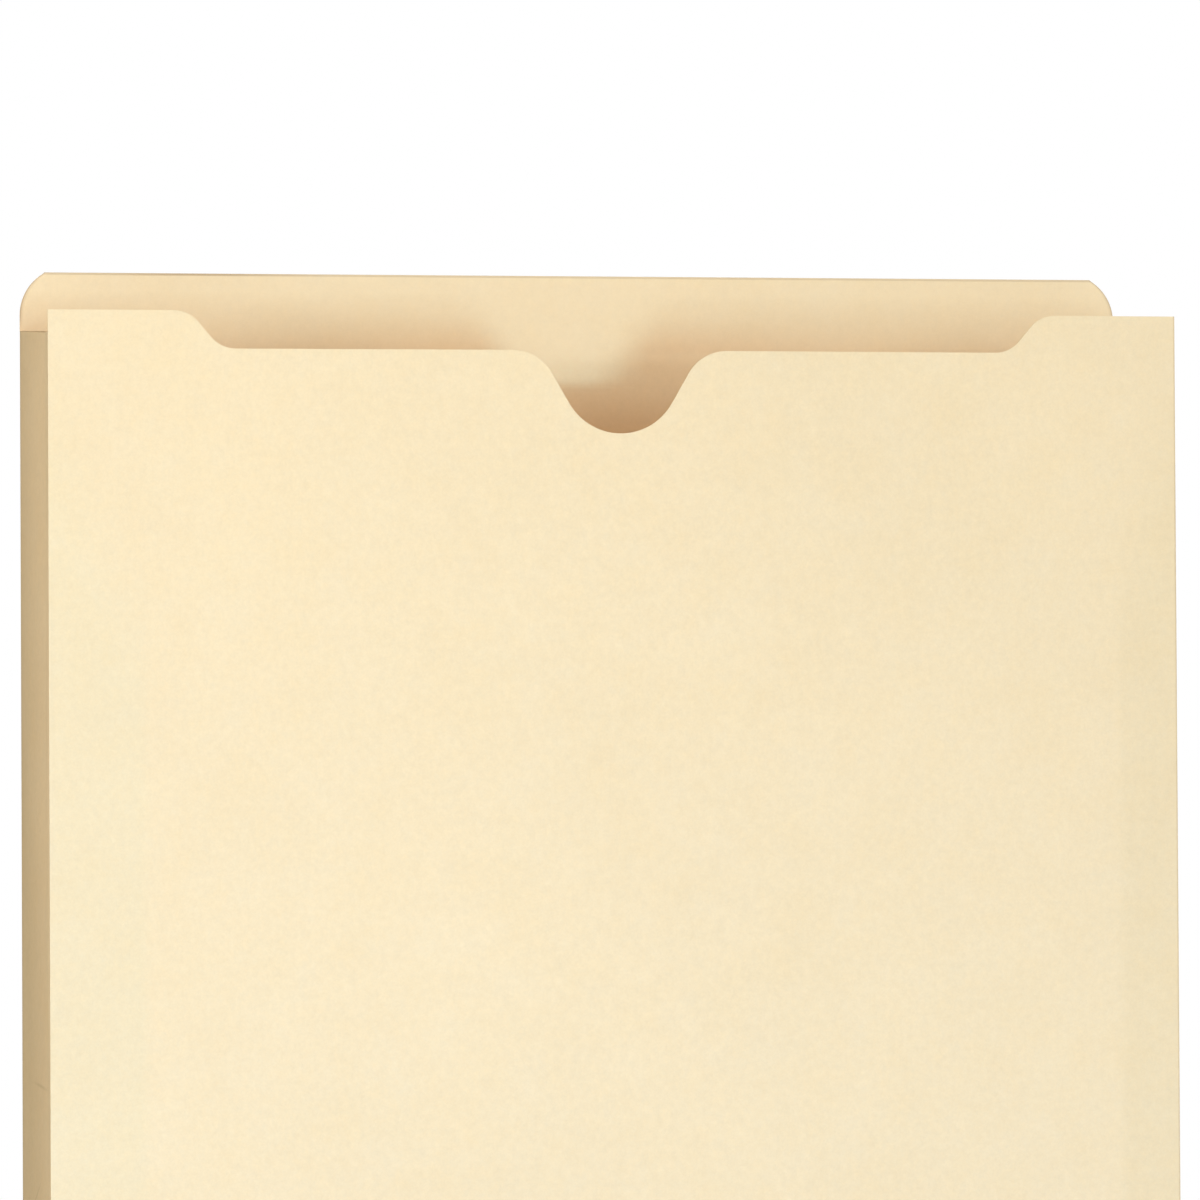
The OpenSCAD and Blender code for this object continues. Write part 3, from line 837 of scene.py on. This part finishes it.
def corner_web(name, side):
    """Rows across the depth: a tent between the corner and three points, side edge, valley, bottom edge."""
    near, far, middle_y = web_offset(0), web_offset(rest_depth / 2), (back_y + front_y) / 2
    upward = np.concatenate([np.linspace(HALF, far, 13), np.full(12, far)])
    inward = upward[::-1]
    depth_share = np.linspace(-WEB_REACH, WEB_REACH, 41)[:, None]
    tent = 1 - np.abs(depth_share)
    x = near + tent * (inward - near)
    z = near + tent * (upward - near)
    y = middle_y - depth_share * rest_depth / 2 + 0 * x
    faces = [np.stack([side * (fold_x - (x + d)), y, fold_z + z + d], -1) for d in (-CARD / 2, CARD / 2)]
    worn = np.broadcast_to(np.exp(-((np.linspace(-1, 1, x.shape[1]) / VALLEY_WEAR) ** 2)), x.shape)
    made = card_piece(name + "_sheet", *faces, worn, gusset_card, "back", name)
    # painted shade on the web, towards the back fold
    painted_shade = shade_towards_back((1 - depth_share) / 2 + 0 * x, 0 * x)
    paint(made.data, "painted_shade", painted_shade, painted_shade)
    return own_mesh(made)


for name, side in (("left_corner_web", -1), ("right_corner_web", 1)):
    print(corner_web(name, side).name, "flattens with the folds")

# %% [markdown]
# ## Flaps and glue
#
# The three glue flaps and the glue lines are flat, and the solids already have their exact outline, so they
# stay as they are and only get a finish.

# %% Finishes for the solids that stay
finishes = {
    gusset_card: ("left_glue_flap", "right_glue_flap", "bottom_glue_flap"),
    glue_film: ("tab_glue", "left_flap_glue", "right_flap_glue", "bottom_flap_glue"),
}
for finish, names in finishes.items():
    for name in names:
        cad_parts[name].data.materials.clear()
        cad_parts[name].data.materials.append(finish)
    print(finish.name, "on", names)

# %% [markdown]
# ## The floor
#
# The floor is a plain pale disc that catches the jacket's shadow. Far from the jacket it fades into the white
# of the surroundings, so no horizon shows in any view; Light Path keeps that white for the camera's eye and
# for reflections, so it puts no light on the object.

# %% Floor
FLOOR_R, HUB_R, RINGS, SPOKES = 1.7, 2 * MM, 12, 72


def disc_points():
    """A disc as rings of points: the radius grows with the ring, the angle with the spoke."""
    radius = np.linspace(HUB_R, FLOOR_R, RINGS)[:, None]
    angle = np.linspace(0, 2 * np.pi, SPOKES, endpoint=False)
    x = radius * np.cos(angle)
    return np.stack([x, radius * np.sin(angle), 0 * x], -1).reshape(-1, 3)


index = np.arange(RINGS * SPOKES).reshape(RINGS, SPOKES)
onward = np.roll(index, -1, 1)
quads = np.stack([index[:-1], index[1:], onward[1:], onward[:-1]], -1).reshape(-1, 4).tolist()
floor_mesh = bpy.data.meshes.new("floor")
floor_mesh.from_pydata(disc_points().tolist(), [], quads + [index[0].tolist()])
floor = bpy.data.objects.new("floor", floor_mesh)
bpy.context.scene.collection.objects.link(floor)
print("floor faces", len(floor_mesh.polygons))

# %% Floor finish
FLOOR_COLOUR, FLOOR_ROUGHNESS, FLOOR_SHINE = (0.88, 0.88, 0.87, 1.0), 0.9, 0.1
WHITE = (1.0, 1.0, 1.0, 1.0)
FADE_START, FADE_END = 0.35, 1.5


def seen(tree):
    """One where the camera looks, straight or by way of gloss or glass, and zero for light on the object."""
    rays = add(tree, "ShaderNodeLightPath").outputs
    straight_or_gloss = math(tree, "MAXIMUM", rays["Is Camera Ray"], rays["Is Glossy Ray"])
    return math(tree, "MAXIMUM", straight_or_gloss, rays["Is Transmission Ray"])


pale_floor = bpy.data.materials.new("pale_floor")
pale_floor.use_nodes = True
tree = pale_floor.node_tree
shader = tree.nodes["Principled BSDF"]
shader.inputs["Base Color"].default_value = FLOOR_COLOUR
shader.inputs["Roughness"].default_value = FLOOR_ROUGHNESS
shader.inputs["Specular IOR Level"].default_value = FLOOR_SHINE
where = add(tree, "ShaderNodeTexCoord").outputs["Object"]
away = add(tree, "ShaderNodeVectorMath", {0: where}, operation="LENGTH").outputs["Value"]
whiteness = math(tree, "MULTIPLY", ramp(tree, away, FADE_START, FADE_END), seen(tree))
white = add(tree, "ShaderNodeEmission", {"Color": WHITE, "Strength": 1.0}).outputs[0]
surface = add(tree, "ShaderNodeMixShader", {0: whiteness, 1: shader.outputs[0], 2: white}).outputs[0]
tree.links.new(surface, tree.nodes["Material Output"].inputs["Surface"])
floor_mesh.materials.append(pale_floor)
print("floor fades to white from", FADE_START, "m to", FADE_END, "m")

# %% [markdown]
# ## Light
#
# A studio shot of card uses soft lamps and much light that bounces about the room. Here one softbox stands at
# the left, so the front panel is lighter on that side, a high one looks down over the front panel's edge into
# the mouth, and a weak one fills in from the right. A fourth lights the views from the back. The world gives
# the bounced light, which is slightly warm, and is white only to the camera and to reflections. Levels are
# plain: a colour renders about as bright as it is written.

# %% Lamps
AIM = Vector((0.0, 0.0, 0.25))
# For each lamp: where it stands, the length of its sides, and its power in watts.
LAMPS = {
    "left_softbox": ((-0.8465, -0.8465, 0.364), 0.3, 3.8),
    "fill_softbox": ((0.409, -1.125, 0.364), 0.3, 1.2),
    "high_softbox": ((-0.25, -0.84, 1.13), 0.3, 7.4),
    "rear_softbox": ((0.606, 1.05, 0.98), 0.5, 9.6),
}


def softbox(name, position, size, power):
    """A square area lamp that looks from its position at the jacket and is not seen by the camera itself."""
    lamp = bpy.data.lights.new(name, "AREA")
    lamp.shape, lamp.size, lamp.energy = "SQUARE", size, power
    made = bpy.data.objects.new(name, lamp)
    bpy.context.scene.collection.objects.link(made)
    made.location = position
    made.rotation_mode = "QUATERNION"
    made.rotation_quaternion = (AIM - Vector(position)).to_track_quat("-Z", "Y")
    made.visible_camera = False


for name, (position, size, power) in LAMPS.items():
    softbox(name, position, size, power)
print("lamps", list(LAMPS))

# %% World
AMBIENT = (0.259, 0.245, 0.224, 1.0)
world = bpy.data.worlds.new("studio_room")
bpy.context.scene.world = world
world.use_nodes = True
tree = world.node_tree
tree.links.new(mix(tree, seen(tree), AMBIENT, WHITE), tree.nodes["Background"].inputs["Color"])
bpy.context.scene.view_settings.view_transform = "Standard"
print("world light", AMBIENT[:3])
